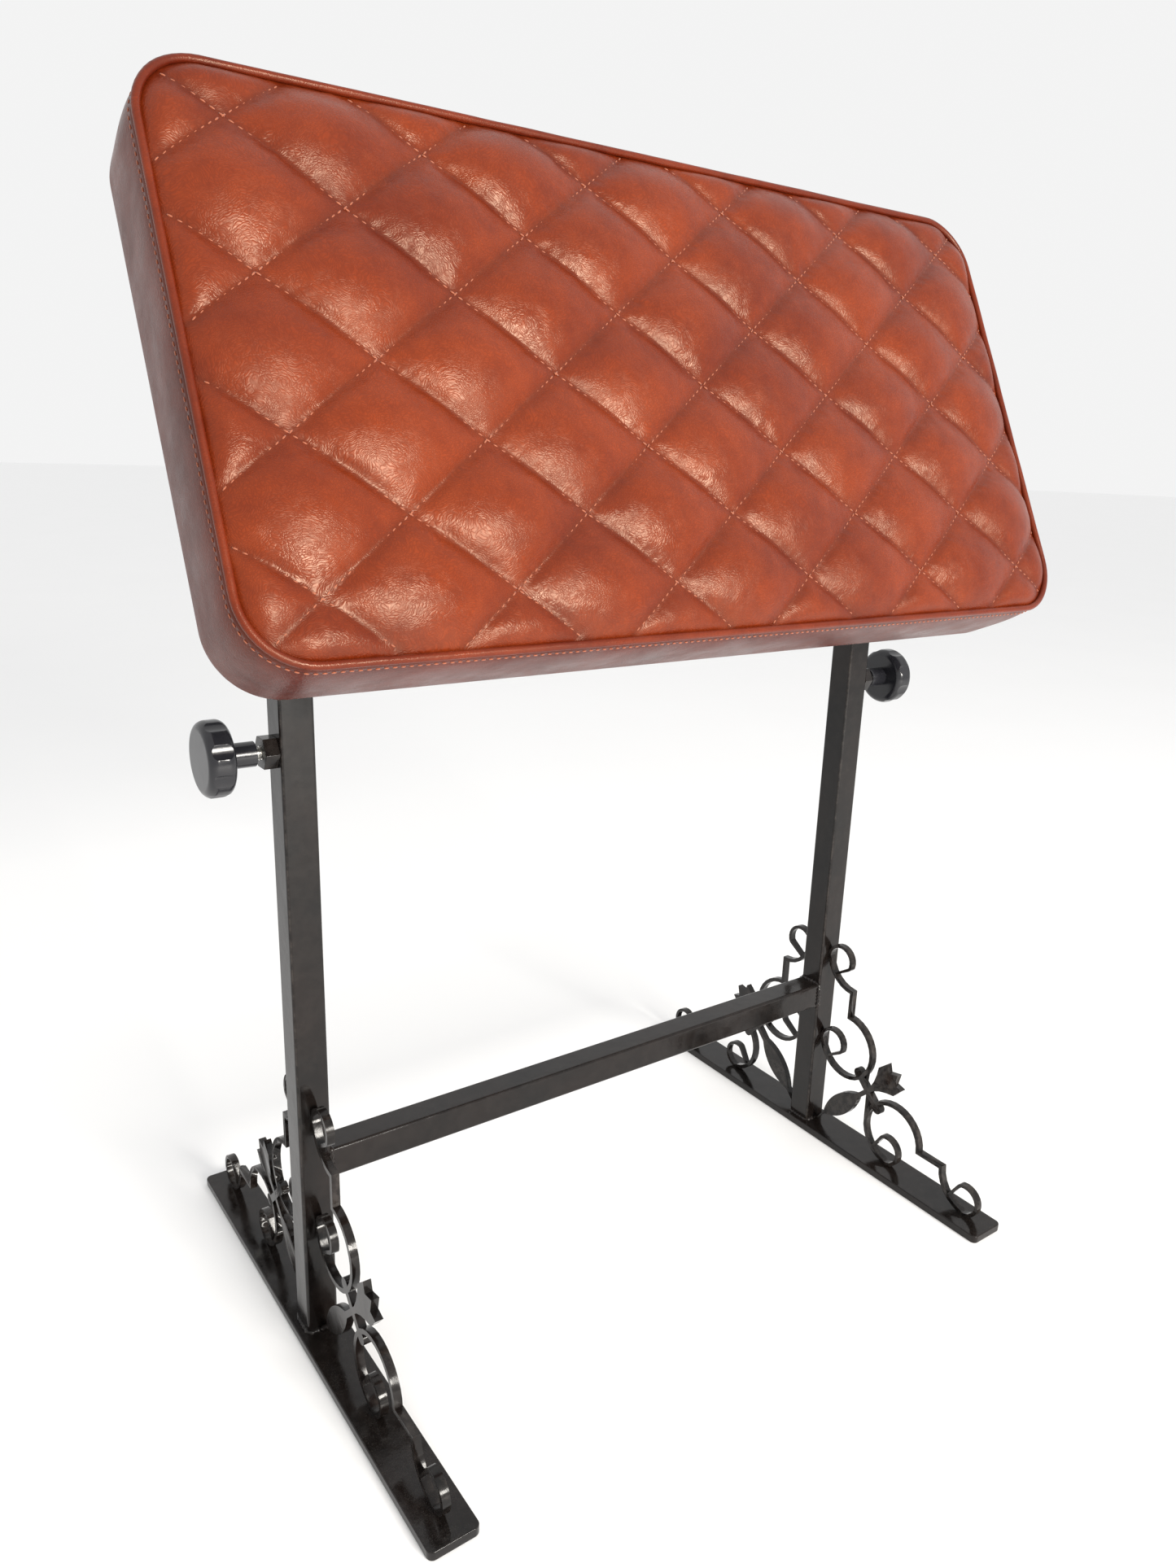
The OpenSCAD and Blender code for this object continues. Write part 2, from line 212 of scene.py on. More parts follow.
class Nodes:
    """Adds shader nodes to one tree and links them in the same breath."""

    def __init__(self, tree):
        self.tree = tree

    def add(self, kind, inputs=None, **settings):
        node = self.tree.nodes.new(kind)
        for key, value in settings.items():
            setattr(node, key, value)
        for key, value in (inputs or {}).items():
            if isinstance(value, bpy.types.NodeSocket):
                self.tree.links.new(value, node.inputs[key])
            else:
                node.inputs[key].default_value = value
        return node

    def math(self, operation, first, second=0.0, clamp=False):
        node = self.add("ShaderNodeMath", {0: first, 1: second}, operation=operation, use_clamp=clamp)
        return node.outputs[0]

    def ramp(self, factor, low, high, from_low=0.0, from_high=1.0):
        node = self.add("ShaderNodeMapRange", {"Value": factor, "From Min": from_low, "From Max": from_high,
                                               "To Min": low, "To Max": high})
        return node.outputs["Result"]

    def mix(self, factor, one, other):
        node = self.add("ShaderNodeMix", data_type="RGBA")
        for key, value in ((0, factor), (6, one), (7, other)):
            if isinstance(value, bpy.types.NodeSocket):
                self.tree.links.new(value, node.inputs[key])
            else:
                node.inputs[key].default_value = value
        return node.outputs[2]

    def noise(self, vector, scale, detail=2.0, roughness=0.5, distortion=0.0):
        return self.add("ShaderNodeTexNoise", {"Vector": vector, "Scale": scale, "Detail": detail,
                                               "Roughness": roughness, "Distortion": distortion})

    def placed(self, vector, scale=(1, 1, 1), turn=(0, 0, 0)):
        node = self.add("ShaderNodeMapping", {"Vector": vector, "Scale": scale, "Rotation": turn})
        return node.outputs["Vector"]


def new_group(name, inputs, outputs):
    """A shader node group with named inputs and outputs, as (socket type, name, default)."""
    group = bpy.data.node_groups.new(name, "ShaderNodeTree")
    for kind, label, default in inputs:
        socket = group.interface.new_socket(label, in_out="INPUT", socket_type=kind)
        if default is not None:
            socket.default_value = default
    for kind, label in outputs:
        group.interface.new_socket(label, in_out="OUTPUT", socket_type=kind)
    nodes = Nodes(group)
    return group, nodes, nodes.add("NodeGroupInput").outputs, nodes.add("NodeGroupOutput").inputs


FLOAT, COLOR, VECTOR = "NodeSocketFloat", "NodeSocketColor", "NodeSocketVector"


def make_edge_wear():
    """A mask of worn edges and corners, broken up by noise."""
    group, nodes, given, out = new_group(
        "Edge wear", [(VECTOR, "Vector", None), (FLOAT, "Amount", 0.5), (FLOAT, "Scale", 60.0)],
        [(FLOAT, "Mask")])
    sharpness = nodes.add("ShaderNodeNewGeometry").outputs["Pointiness"]
    edge = nodes.ramp(sharpness, 0.0, 1.0, 0.53, 0.62)
    patches = nodes.noise(given["Vector"], given["Scale"], 4.0, 0.65).outputs[0]
    patchy = nodes.ramp(patches, 0.0, 1.0, 0.42, 0.62)
    worn = nodes.math("MULTIPLY", edge, patchy)
    nodes.tree.links.new(nodes.math("MULTIPLY", worn, given["Amount"], clamp=True), out["Mask"])
    return group


def make_dust():
    """Fine dust that settles on surfaces that face up."""
    group, nodes, given, out = new_group(
        "Dust", [(VECTOR, "Vector", None), (FLOAT, "Amount", 0.3), (FLOAT, "Scale", 900.0)],
        [(FLOAT, "Mask")])
    facing = nodes.add("ShaderNodeSeparateXYZ", {0: nodes.add("ShaderNodeNewGeometry").outputs["Normal"]})
    up = nodes.ramp(facing.outputs["Z"], 0.0, 1.0, 0.3, 1.0)
    specks = nodes.noise(given["Vector"], given["Scale"], 2.0, 0.7).outputs[0]
    clouds = nodes.noise(given["Vector"], 24.0, 3.0, 0.6).outputs[0]
    grit = nodes.ramp(specks, 0.0, 1.0, 0.5, 0.75)
    drifts = nodes.ramp(clouds, 0.3, 1.0, 0.4, 0.6)
    speckled = nodes.math("MULTIPLY", grit, drifts)
    settled = nodes.math("MULTIPLY", speckled, up)
    nodes.tree.links.new(nodes.math("MULTIPLY", settled, given["Amount"], clamp=True), out["Mask"])
    return group


def make_leather_grain():
    """Fine creases of polished leather: short wavy cells drawn out along X of the vector given."""
    group, nodes, given, out = new_group(
        "Leather grain", [(VECTOR, "Vector", None), (FLOAT, "Scale", 620.0), (FLOAT, "Stretch", 0.42)],
        [(FLOAT, "Height"), (FLOAT, "Pores")])
    bend = nodes.noise(given["Vector"], 85.0, 2.0, 0.5).outputs["Color"]
    swirl = nodes.noise(given["Vector"], 26.0, 2.0, 0.5).outputs["Color"]
    bent = nodes.add("ShaderNodeVectorMath", {0: bend, 1: (0.012, 0.012, 0.012)},
                     operation="MULTIPLY").outputs[0]
    swirled = nodes.add("ShaderNodeVectorMath", {0: swirl, 1: (0.05, 0.05, 0.05)},
                        operation="MULTIPLY").outputs[0]
    moved = nodes.add("ShaderNodeVectorMath", {0: given["Vector"], 1: bent}, operation="ADD").outputs[0]
    moved = nodes.add("ShaderNodeVectorMath", {0: moved, 1: swirled}, operation="ADD").outputs[0]
    stretch = nodes.add("ShaderNodeCombineXYZ", {"X": given["Stretch"], "Y": 1.0, "Z": 1.0}).outputs[0]
    drawn = nodes.add("ShaderNodeVectorMath", {0: moved, 1: stretch}, operation="MULTIPLY").outputs[0]
    cells = nodes.add("ShaderNodeTexVoronoi", {"Vector": drawn, "Scale": given["Scale"]},
                      feature="DISTANCE_TO_EDGE")
    crease = nodes.ramp(cells.outputs["Distance"], 0.0, 1.0, 0.0, 0.28)
    fine = nodes.noise(drawn, nodes.math("MULTIPLY", given["Scale"], 1.7), 3.0, 0.6).outputs[0]
    broad = nodes.noise(drawn, nodes.math("MULTIPLY", given["Scale"], 0.45), 2.0, 0.5).outputs[0]
    height = nodes.math("ADD", nodes.math("MULTIPLY", crease, 0.5), nodes.math("MULTIPLY", fine, 0.12))
    height = nodes.math("ADD", height, nodes.math("MULTIPLY", broad, 0.6))
    nodes.tree.links.new(height, out["Height"])
    nodes.tree.links.new(nodes.math("SUBTRACT", 1.0, crease), out["Pores"])
    return group


EDGE_WEAR = make_edge_wear()
DUST = make_dust()
LEATHER_GRAIN = make_leather_grain()


def new_finish(name, **constants):
    """A material with a Principled shader, and the nodes helper and object coordinates to dress it."""
    finish = bpy.data.materials.new(name)
    finish.use_nodes = True
    nodes = Nodes(finish.node_tree)
    shader = finish.node_tree.nodes["Principled BSDF"]
    for label, value in constants.items():
        shader.inputs[label.replace("_", " ")].default_value = value
    place = nodes.add("ShaderNodeTexCoord").outputs["Object"]
    return finish, nodes, shader.inputs, place


def placed_group(nodes, group, inputs):
    node = nodes.add("ShaderNodeGroup", node_tree=group)
    for label, value in inputs.items():
        if isinstance(value, bpy.types.NodeSocket):
            nodes.tree.links.new(value, node.inputs[label])
        else:
            node.inputs[label].default_value = value
    return node.outputs


def bumped(nodes, height, strength, distance, normal=None):
    inputs = {"Height": height, "Strength": strength, "Distance": distance}
    if normal is not None:
        inputs["Normal"] = normal
    return nodes.add("ShaderNodeBump", inputs).outputs["Normal"]


def black_enamel():
    """Glossy stoved enamel: slight orange peel, brown-black, thin on the edges."""
    finish, nodes, shader, place = new_finish("black_enamel", IOR=1.5, Specular_IOR_Level=0.32)
    clouds = nodes.noise(place, 18.0, 3.0, 0.55).outputs[0]
    shade = nodes.ramp(clouds, 0.0, 1.0, 0.35, 0.65)
    colour = nodes.mix(shade, (0.004, 0.0034, 0.0032, 1), (0.009, 0.006, 0.005, 1))
    wear = placed_group(nodes, EDGE_WEAR, {"Vector": place, "Amount": 0.25, "Scale": 160.0})["Mask"]
    colour = nodes.mix(wear, colour, (0.1, 0.085, 0.075, 1))
    dust = placed_group(nodes, DUST, {"Vector": place, "Amount": 0.06, "Scale": 1400.0})["Mask"]
    nodes.tree.links.new(nodes.mix(dust, colour, (0.35, 0.33, 0.3, 1)), shader["Base Color"])
    smears = nodes.noise(nodes.placed(place, (1, 1, 0.25)), 60.0, 4.0, 0.6).outputs[0]
    rough = nodes.ramp(smears, 0.1, 0.24, 0.3, 0.7)
    nodes.tree.links.new(nodes.math("ADD", rough, nodes.math("MULTIPLY", dust, 0.5)), shader["Roughness"])
    peel = nodes.noise(place, 520.0, 2.0, 0.45).outputs[0]
    waves = nodes.noise(place, 55.0, 2.0, 0.5).outputs[0]
    wavy = bumped(nodes, waves, 0.25, 0.0012)
    nodes.tree.links.new(bumped(nodes, peel, 0.16, 0.0002, wavy), shader["Normal"])
    return finish


def leather(name, light, dark, grain_scale, creases, gloss):
    """Polished cognac leather, in the pad's own directions."""
    finish, nodes, shader, place = new_finish(name, IOR=1.5, Specular_IOR_Level=0.42,
                                              Specular_Tint=(1, 0.76, 0.58, 1))
    flat = nodes.placed(place, turn=(-pad_lean, 0, 0))
    grain = placed_group(nodes, LEATHER_GRAIN, {"Vector": flat, "Scale": grain_scale})
    tone = nodes.noise(flat, 14.0, 3.0, 0.6).outputs[0]
    mottle = nodes.noise(flat, 90.0, 3.0, 0.65).outputs[0]
    shade = nodes.math("ADD", nodes.math("MULTIPLY", tone, 0.65), nodes.math("MULTIPLY", mottle, 0.35))
    colour = nodes.mix(nodes.ramp(shade, 0.0, 1.0, 0.36, 0.64), dark, light)
    # Painted shade, with some dirt: the leather is darkened in the valleys along the seams, and the same dark
    # colour marks the grain's pores.
    seam = nodes.add("ShaderNodeAttribute", attribute_name="seam").outputs["Fac"]
    seam_shade_and_pore_colour = tuple(0.45 * c for c in dark[:3]) + (1,)
    colour = nodes.mix(nodes.math("MULTIPLY", seam, 0.45), colour, seam_shade_and_pore_colour)
    colour = nodes.mix(nodes.math("MULTIPLY", grain["Pores"], 0.3), colour, seam_shade_and_pore_colour)
    nodes.tree.links.new(colour, shader["Base Color"])
    worn = nodes.noise(flat, 40.0, 3.0, 0.6).outputs[0]
    nodes.tree.links.new(nodes.ramp(worn, gloss, gloss + 0.12, 0.35, 0.65), shader["Roughness"])
    nodes.tree.links.new(bumped(nodes, grain["Height"], creases, 0.0006), shader["Normal"])
    return finish


def thread():
    """Waxed orange thread with a twist."""
    finish, nodes, shader, place = new_finish("thread", Roughness=0.55, Sheen_Weight=0.3)
    strands = nodes.noise(place, 900.0, 2.0, 0.6).outputs[0]
    colour = nodes.mix(strands, (0.22, 0.045, 0.014, 1), (0.4, 0.11, 0.04, 1))
    nodes.tree.links.new(colour, shader["Base Color"])
    nodes.tree.links.new(bumped(nodes, strands, 0.5, 0.0003), shader["Normal"])
    return finish


def zinc_steel():
    """Bright zinc plate with fine brushing and a few dull spots."""
    finish, nodes, shader, place = new_finish("zinc_steel", Metallic=1.0)
    spots = nodes.noise(place, 220.0, 4.0, 0.6).outputs[0]
    nodes.tree.links.new(nodes.mix(spots, (0.72, 0.71, 0.68, 1), (0.5, 0.49, 0.46, 1)), shader["Base Color"])
    nodes.tree.links.new(nodes.ramp(spots, 0.16, 0.38, 0.35, 0.65), shader["Roughness"])
    brushing = nodes.noise(nodes.placed(place, (1, 0.08, 1)), 1800.0, 2.0, 0.6).outputs[0]
    nodes.tree.links.new(bumped(nodes, brushing, 0.12, 0.0002), shader["Normal"])
    return finish


def moulded_plastic(name, colour, rough, texture):
    """Moulded plastic, with a texture from polished to fine spark-eroded."""
    finish, nodes, shader, place = new_finish(name, IOR=1.49)
    clouds = nodes.noise(place, 90.0, 3.0, 0.6).outputs[0]
    lighter = tuple(1.6 * c + 0.004 for c in colour[:3]) + (1,)
    wear = placed_group(nodes, EDGE_WEAR, {"Vector": place, "Amount": 0.35, "Scale": 300.0})["Mask"]
    nodes.tree.links.new(nodes.mix(wear, nodes.mix(clouds, colour, lighter), (0.09, 0.09, 0.09, 1)),
                         shader["Base Color"])
    nodes.tree.links.new(nodes.ramp(clouds, rough, rough + 0.12, 0.3, 0.7), shader["Roughness"])
    grain = nodes.noise(place, 2600.0, 2.0, 0.5).outputs[0]
    nodes.tree.links.new(bumped(nodes, grain, texture, 0.0002), shader["Normal"])
    return finish


def plywood():
    """Bare birch plywood: face grain along X."""
    finish, nodes, shader, place = new_finish("plywood", Roughness=0.62)
    flat = nodes.placed(place, (0.06, 1, 1), (-pad_lean, 0, 0))
    grain = nodes.noise(flat, 420.0, 5.0, 0.6, 0.6).outputs[0]
    nodes.tree.links.new(nodes.mix(grain, (0.5, 0.33, 0.17, 1), (0.75, 0.58, 0.36, 1)), shader["Base Color"])
    nodes.tree.links.new(bumped(nodes, grain, 0.3, 0.0003), shader["Normal"])
    return finish


def dust_cloth():
    """Black non-woven cloth, point bonded in a fine diamond grid."""
    finish, nodes, shader, place = new_finish("dust_cloth", Sheen_Weight=0.08, Sheen_Roughness=0.5)
    flat = nodes.placed(place, (1, 1, 1), (-pad_lean, 0, math.radians(45)))
    cells = nodes.add("ShaderNodeTexVoronoi", {"Vector": flat, "Scale": 520.0, "Randomness": 0.15})
    bonds = cells.outputs["Distance"]
    fibres = nodes.noise(nodes.placed(flat, (1, 0.15, 1)), 1500.0, 3.0, 0.7, 1.5).outputs[0]
    height = nodes.math("ADD", nodes.ramp(bonds, 0.0, 1.0, 0.1, 0.35), nodes.math("MULTIPLY", fibres, 0.6))
    colour = nodes.mix(height, (0.006, 0.006, 0.006, 1), (0.035, 0.034, 0.033, 1))
    nodes.tree.links.new(colour, shader["Base Color"])
    nodes.tree.links.new(nodes.ramp(fibres, 0.65, 0.95), shader["Roughness"])
    nodes.tree.links.new(bumped(nodes, height, 0.5, 0.0004), shader["Normal"])
    return finish


def floor_paint():
    """Plain pale studio floor."""
    finish, nodes, shader, place = new_finish("studio_floor", Roughness=0.75)
    clouds = nodes.noise(place, 3.0, 3.0, 0.5).outputs[0]
    colour = nodes.mix(clouds, (0.93, 0.93, 0.93, 1), (0.95, 0.95, 0.95, 1))
    nodes.tree.links.new(colour, shader["Base Color"])
    return finish


ENAMEL = black_enamel()
FACE_LEATHER = leather("cognac_leather", (0.2, 0.026, 0.004, 1), (0.12, 0.0125, 0.0025, 1), 760.0, 0.24, 0.29)
BAND_LEATHER = leather("band_leather", (0.125, 0.015, 0.006, 1), (0.07, 0.007, 0.004, 1), 900.0, 0.22, 0.28)
PIPING_LEATHER = leather("piping_leather", (0.17, 0.021, 0.005, 1), (0.1, 0.01, 0.003, 1), 1000.0, 0.15, 0.25)
THREAD = thread()
ZINC = zinc_steel()
KNOB_PLASTIC = moulded_plastic("knob_plastic", (0.008, 0.008, 0.01, 1), 0.12, 0.05)
PLUG_PLASTIC = moulded_plastic("plug_plastic", (0.02, 0.02, 0.021, 1), 0.42, 0.35)
NYLON = moulded_plastic("nylon", (0.5, 0.49, 0.46, 1), 0.4, 0.12)
PLYWOOD = plywood()
DUST_CLOTH = dust_cloth()


# ---- pad: the quilted face is laid out as domes between sewn seams, which pressure then settles
# by a fraction of a millimetre ----


def cut_to_outline(bm, inset, planes_per_corner=9):
    """Trims a flat mesh to the pad's rounded outline, that far inside its edge."""
    corner = PAD_CORNER - inset
    turn = math.radians(90 / planes_per_corner)
    angles = [turn * (k + 0.5) for k in range(4 * planes_per_corner)]
    angles += [math.radians(90 * k) for k in range(4)]
    for angle in angles:
        out = Vector((math.cos(angle), math.sin(angle), 0))
        side_x = math.copysign(core_x, out.x) if abs(out.x) > 1e-6 else 0
        side_y = math.copysign(core_y, out.y) if abs(out.y) > 1e-6 else 0
        bmesh.ops.bisect_plane(bm, geom=bm.verts[:] + bm.edges[:] + bm.faces[:], dist=1e-6, clear_outer=True,
                               plane_co=Vector((side_x, side_y, 0)) + corner * out, plane_no=out)


def puff_shape(x, y):
    """Stuffed height above the seams before blowing up, with each diamond filled a little differently."""
    s, t = lattice(x, y)
    depth = np.maximum(inset_of(x, y) - FACE_INSET, 0)
    filling = np.random.RandomState(5).uniform(0.9, 1.12, (2 * LATTICE_REACH + 2,) * 2)
    fill = filling[np.floor(s).astype(int) + LATTICE_REACH, np.floor(t).astype(int) + LATTICE_REACH]
    dome = np.abs(np.sin(math.pi * s) * np.sin(math.pi * t)) ** 0.6
    return PUFF_HEIGHT * fill * dome * (1 - np.exp(-depth / (5 * MM)))


def blown_up(sheet, pinned):
    """The places of a sheet's vertices after cloth simulation under pressure, with some of them held."""
    held = sheet.vertex_groups.new(name="sewn")
    held.add([int(i) for i in np.nonzero(pinned)[0]], 1.0, "REPLACE")
    cloth = sheet.modifiers.new("Cloth", "CLOTH")
    cloth.settings.quality = 5
    cloth.settings.tension_stiffness = 40
    cloth.settings.compression_stiffness = 40
    cloth.settings.shear_stiffness = 12
    cloth.settings.bending_stiffness = 0.4
    cloth.settings.vertex_group_mass = "sewn"
    cloth.settings.use_pressure = True
    cloth.settings.uniform_pressure_force = 900
    cloth.settings.effector_weights.gravity = 0
    cloth.collision_settings.use_collision = False
    for step in range(1, 9):
        bpy.context.scene.frame_set(step)
    result = sheet.evaluated_get(bpy.context.evaluated_depsgraph_get())
    places = verts_array(result.data)
    sheet.modifiers.remove(cloth)
    bpy.context.scene.frame_set(1)
    return places


def sewn_face():
    """The quilted panel as a bmesh in the pad's frame, its rim at the piping."""
    bm = bmesh.new()
    shear = Matrix(((DIAMOND_HALF_X, DIAMOND_HALF_X, 0, 0), (-DIAMOND_HALF_Y, DIAMOND_HALF_Y, 0, 0),
                    (0, 0, 1, 0), (0, 0, 0, 1)))
    steps = 2 * LATTICE_REACH * LATTICE_STEPS
    bmesh.ops.create_grid(bm, x_segments=steps, y_segments=steps, size=LATTICE_REACH, matrix=shear)
    cut_to_outline(bm, FACE_INSET)
    rim = [v for v in bm.verts if v.is_boundary]
    bmesh.ops.remove_doubles(bm, verts=rim, dist=1.0 * MM)
    mesh = bpy.data.meshes.new("face_sheet")
    bm.to_mesh(mesh)
    places = verts_array(mesh)
    x, y = places[:, 0], places[:, 1]
    s, t = lattice(x, y)
    off_seam = np.minimum(np.abs(s - np.round(s)), np.abs(t - np.round(t)))
    on_rim = np.array([v.is_boundary for v in bm.verts])
    places[:, 2] = np.where(on_rim, FACE_EDGE, seam_level(x, y) + puff_shape(x, y))
    set_verts(mesh, places)
    sheet = bpy.data.objects.new("face_sheet", mesh)
    bpy.context.scene.collection.objects.link(sheet)
    soft = blown_up(sheet, on_rim | (off_seam < 0.3 / LATTICE_STEPS))
    moved = soft - places
    reach = np.linalg.norm(moved, axis=1, keepdims=True)
    places += moved * np.minimum(1, 6 * MM / np.maximum(reach, 1e-9))
    bpy.data.objects.remove(sheet)
    for v, place in zip(bm.verts, places):
        v.co = place
    bpy.data.meshes.remove(mesh)
    return bm


# The side band and the hem under the board, as (how far inside the pad's edge, height)
hem_level = cover_low.z + 0.2 * MM
BAND_PROFILE = [
    (cord_inset - 0.2 * MM, cord_level - 2.4 * MM), (1.5 * MM, cord_level - 3.4 * MM),
    (0.9 * MM, cord_level - 4.8 * MM), (1.0 * MM, cord_level - 5.9 * MM), (1.05 * MM, cord_level - 6.5 * MM),
    (0.8 * MM, cord_level - 7.3 * MM), (0.3 * MM, cord_level - 9.5 * MM), (-0.3 * MM, cord_level - 15 * MM),
    (-0.5 * MM, cord_level - 22 * MM), (-0.3 * MM, cord_level - 30 * MM), (0.1 * MM, cord_level - 38 * MM),
    (0.4 * MM, hem_level + 6 * MM), (0.6 * MM, hem_level + 3 * MM), (0.9 * MM, hem_level + 1.4 * MM),
    (1.6 * MM, hem_level + 0.4 * MM), (3.2 * MM, hem_level), (14 * MM, hem_level),
    (26 * MM, hem_level + 0.3 * MM)]


def add_band(bm):
    """Draws the face's rim down over the side band and in under the board."""
    rim = [e for e in bm.edges if e.is_boundary]
    for inset, level in BAND_PROFILE:
        grown = bmesh.ops.extrude_edge_only(bm, edges=rim)["geom"]
        ring = [v for v in grown if isinstance(v, bmesh.types.BMVert)]
        for face in {f for v in ring for f in v.link_faces}:
            face.material_index = 1
        for v in ring:
            out_x, out_y = (float(n) for n in edge_normal(v.co.x, v.co.y))
            corner_x = max(-core_x, min(core_x, v.co.x))
            corner_y = max(-core_y, min(core_y, v.co.y))
            reach = PAD_CORNER - inset
            v.co = (corner_x + reach * out_x, corner_y + reach * out_y, level)
        rim = [e for e in grown if isinstance(e, bmesh.types.BMEdge)]


def close_back(mesh):
    """Closes the open back of the cover with one flat face."""
    bm = bmesh.new()
    bm.from_mesh(mesh)
    rim = [e for e in bm.edges if e.is_boundary]
    for face in bmesh.ops.contextual_create(bm, geom=rim)["faces"]:
        face.material_index = 1
        face.smooth = False
    bmesh.ops.recalc_face_normals(bm, faces=bm.faces)
    bm.to_mesh(mesh)
    bm.free()


def ripples(x, y, z, scale, seed):
    """Smooth noise at many points, from -1 to 1."""
    offset = Vector((seed, seed * 1.7, seed * 0.3))
    return np.array([noise.noise(Vector(p) * scale + offset) for p in zip(x, y, z)])


def gather_leather(mesh):
    """Puckers the leather beside every seam, wrinkles the side band, and marks the seam valleys for painted shade
    with some dirt.
    """
    places = verts_array(mesh)
    x, y, z = places.T
    normals = np.zeros(len(mesh.vertices) * 3, np.float32)
    mesh.vertices.foreach_get("normal", normals)
    normals = normals.reshape(-1, 3)
    s, t = lattice(x, y)
    inside = inset_of(x, y) - FACE_INSET
    on_face = (inside > 0.3 * MM) & (z > FACE_EDGE - 0.5 * MM)
    from_s = np.abs(s - np.round(s)) * SEAM_GAP
    from_t = np.abs(t - np.round(t)) * SEAM_GAP
    lift = np.zeros(len(x))
    for away, along, seed in ((from_s, t, 3.0), (from_t, s, 9.0)):
        along_seam = along * SEAM_STEP / (3.2 * MM)
        diamond = np.round(away / SEAM_GAP) + seed * np.round(s + t)
        tucks = ripples(along_seam, diamond, away / (7 * MM), 1.0, seed)
        reach = np.exp(-away / (4.5 * MM)) * (1 - np.exp(-away / (1.0 * MM)))
        lift += np.where(on_face, 0.75 * MM * reach * tucks, 0)
    slack = ripples(x, y, z, 1 / (9 * MM), 21.0)
    lift += np.where(on_face, 0.16 * MM * slack, 0)
    on_band = (inset_of(x, y) < 4 * MM) & (z < cord_level - 8 * MM) & (z > hem_level + 3 * MM)
    lift += np.where(on_band, 0.2 * MM * ripples(x, y, z * 0.6, 1 / (22 * MM), 31.0), 0)
    set_verts(mesh, places + normals * lift[:, None])
    # Mask for painted shade, with some dirt, in the seam valleys: 1 on the seams, fading over a few millimetres.
    seam = np.where(on_face, np.exp(-np.minimum(from_s, from_t) / (2.2 * MM)), 0)
    marks = mesh.attributes.new("seam", "FLOAT", "POINT")
    marks.data.foreach_set("value", seam.astype(np.float32))


def pad_cushion():
    bm = sewn_face()
    add_band(bm)
    bmesh.ops.recalc_face_normals(bm, faces=bm.faces)
    cushion = add_piece("pad_cushion", bm, [FACE_LEATHER, BAND_LEATHER], "pad",
                        ["pad_cover", "pad_foam"], sharp=180)
    smooth = cushion.modifiers.new("Subdivision", "SUBSURF")
    smooth.levels = smooth.render_levels = 1
    fine = bpy.data.meshes.new_from_object(cushion.evaluated_get(bpy.context.evaluated_depsgraph_get()))
    cushion.modifiers.remove(smooth)
    rough, cushion.data = cushion.data, fine
    bpy.data.meshes.remove(rough)
    fine.name = "pad_cushion"
    close_back(fine)
    gather_leather(fine)
    fine.transform(ON_PAD)
    return cushion


def outline_path(inset, level, spacing):
    """Evenly spaced points round the pad, that far inside its edge."""
    corner = PAD_CORNER - inset
    quarter = corner * math.pi / 2
    legs = [2 * core_y, quarter, 2 * core_x, quarter] * 2
    count = round(sum(legs) / spacing)
    points = []
    for k in range(count):
        walk = sum(legs) * k / count
        leg = 0
        while walk > legs[leg]:
            walk -= legs[leg]
            leg += 1
        if leg % 2:
            angle = math.radians(90 * (leg // 2)) + walk / corner
            centre = Vector(((1, -1, -1, 1)[leg // 2] * core_x, (1, 1, -1, -1)[leg // 2] * core_y, level))
            points.append(centre + corner * Vector((math.cos(angle), math.sin(angle), 0)))
        else:
            side = leg // 2
            out = Vector((math.cos(math.radians(90 * side)), math.sin(math.radians(90 * side)), 0))
            run = Vector((-out.y, out.x, 0))
            reach = core_x if side % 2 == 0 else core_y
            half = core_y if side % 2 == 0 else core_x
            points.append(out * (reach + corner) + run * (walk - half) + Vector((0, 0, level)))
    return points


def pad_piping():
    """Leather-covered cord round the face, with the small unevenness of a sewn edge."""
    bm = bmesh.new()
    path = outline_path(cord_inset, cord_level, 4 * MM)
    radii = [CORD_R * (1 + 0.035 * noise.noise(p * 60)) for p in path]
    path = [p + Vector((0, 0, 0.25 * MM * noise.noise(p * 35))) for p in path]
    tube(bm, path, radii, sides=14, closed=True)
    bmesh.ops.recalc_face_normals(bm, faces=bm.faces)
    return add_piece("pad_piping_cord", bm, [PIPING_LEATHER], "pad", ["pad_piping"],
                     on_pad=True, sharp=180)


def add_stitch(bm, centre, along, out, length, width):
    """One visible stitch: a bead of thread, rounded down at both ends."""
    side = out.cross(along).normalized()
    out = along.cross(side).normalized()
    turn = Matrix((along.normalized(), side, out)).transposed().to_4x4()
    shape = Matrix.Diagonal((length / 2, width / 2, width / 2, 1))
    bmesh.ops.create_uvsphere(bm, u_segments=6, v_segments=4, radius=1,
                              matrix=Matrix.Translation(centre) @ turn @ shape)


def append_row(bm, row):
    """Adds one finished row of stitches to the rest."""
    mesh = bpy.data.meshes.new("row")
    row.to_mesh(mesh)
    row.free()
    bm.from_mesh(mesh)
    bpy.data.meshes.remove(mesh)


